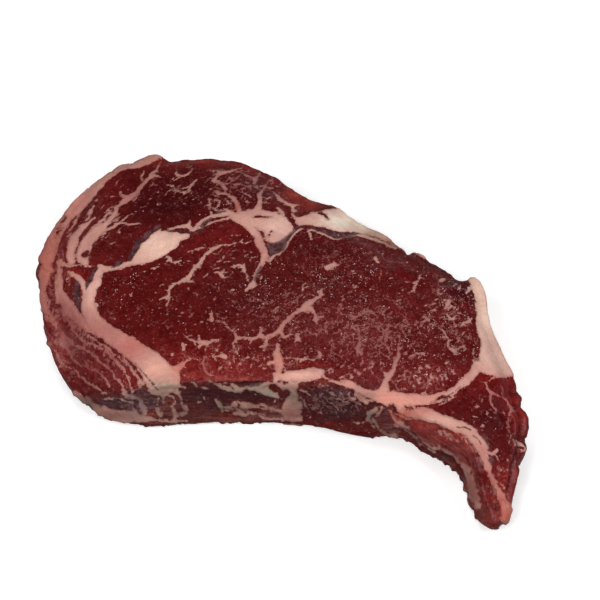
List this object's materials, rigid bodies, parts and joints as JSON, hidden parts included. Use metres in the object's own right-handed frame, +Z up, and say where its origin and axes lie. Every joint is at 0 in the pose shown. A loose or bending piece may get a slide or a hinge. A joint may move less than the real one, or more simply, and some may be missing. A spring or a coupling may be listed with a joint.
{
  "type": "raw ribeye steak",
  "caption": "Raw bone-out ribeye steak: a thick flat slab of marbled beef with a rounded fatty end and a thin drooping tail.",
  "frame": {"origin": "middle of the bounding box, on the plane of the flat underside", "axes": "+X along the steak's length towards the tail end, +Y towards the side opposite the tall near wall, +Z up through the thickness, out of the cut face"},
  "size_m": [0.2038, 0.183, 0.028],
  "materials": {
    "raw_beef": "wet raw beef, deep red lean with cream-pink fat seams and fine marbling"
  },
  "bodies": {
    "root": {"ribeye_steak": "raw_beef"}
  },
  "joints": []
}
